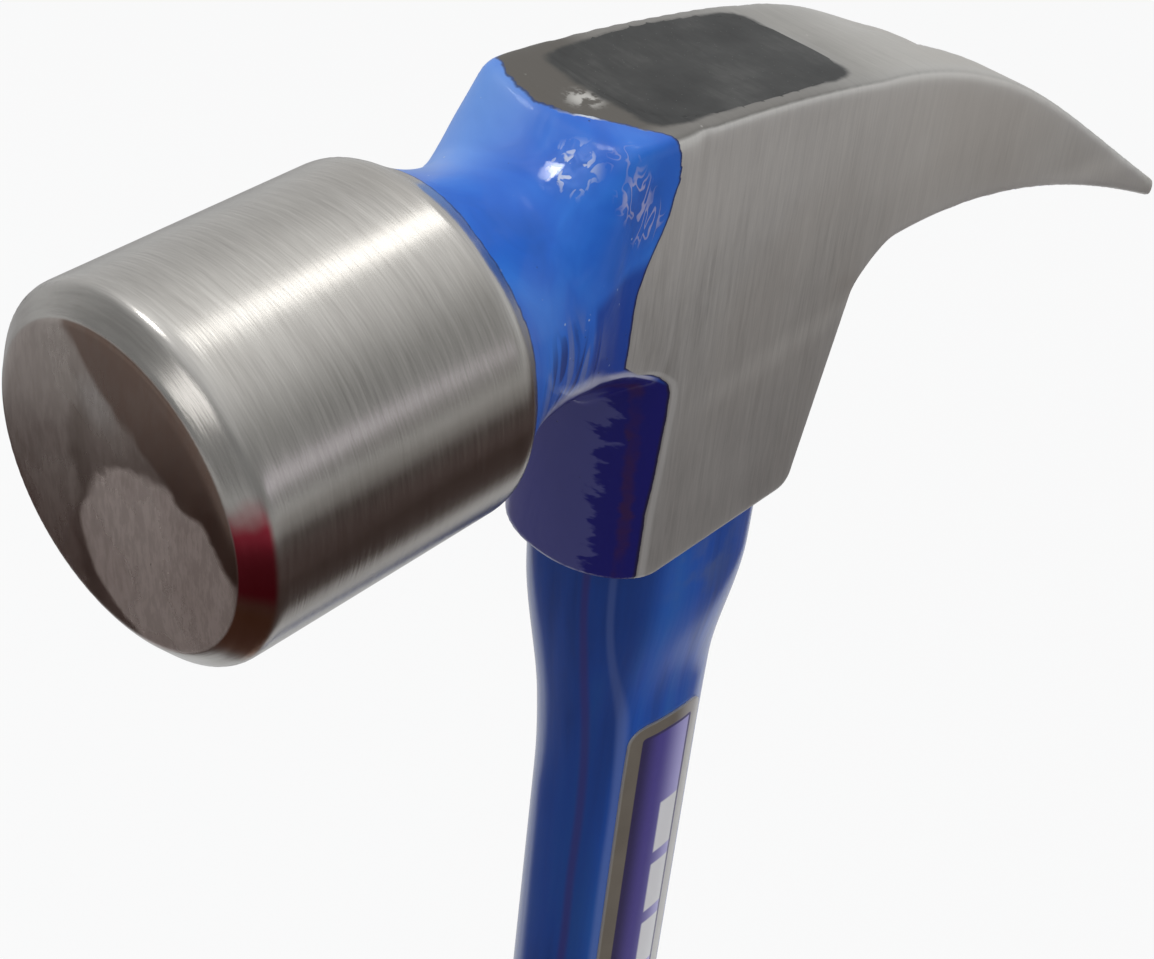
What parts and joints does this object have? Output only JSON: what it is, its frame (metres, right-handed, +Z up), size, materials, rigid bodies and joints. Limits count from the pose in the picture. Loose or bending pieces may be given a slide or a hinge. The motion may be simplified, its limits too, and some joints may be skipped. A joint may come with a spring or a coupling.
{
  "type": "framing hammer",
  "caption": "Framing hammer: forged head with a round poll, painted neck and split rip claws, bonded to a jacketed fibreglass handle with a ribbed grip.",
  "frame": {"origin": "centre of the butt's flat foot", "axes": "+Z up the handle to the head, -X towards the striking face, +X towards the claws, Y across the cheeks"},
  "size_m": [0.1388, 0.034, 0.407],
  "materials": {
    "head": "ground and brushed steel with cobalt-blue gloss enamel on the neck and the skirt's front",
    "eye_epoxy": "cast dark epoxy, ground flush",
    "eye_seal": "soft black seal",
    "core_rod": "pultruded glass fibre, bare",
    "jacket": "glossy deep-blue moulded jacket",
    "label_left": "printed film with a tan border",
    "label_right": "printed film with a tan border",
    "grip": "soft black ribbed grip"
  },
  "bodies": {
    "root": {"head": "head", "eye_epoxy": "eye_epoxy", "eye_seal": "eye_seal", "core_rod": "core_rod", "jacket": "jacket", "label_left": "label_left", "label_right": "label_right", "grip": "grip"}
  },
  "joints": []
}
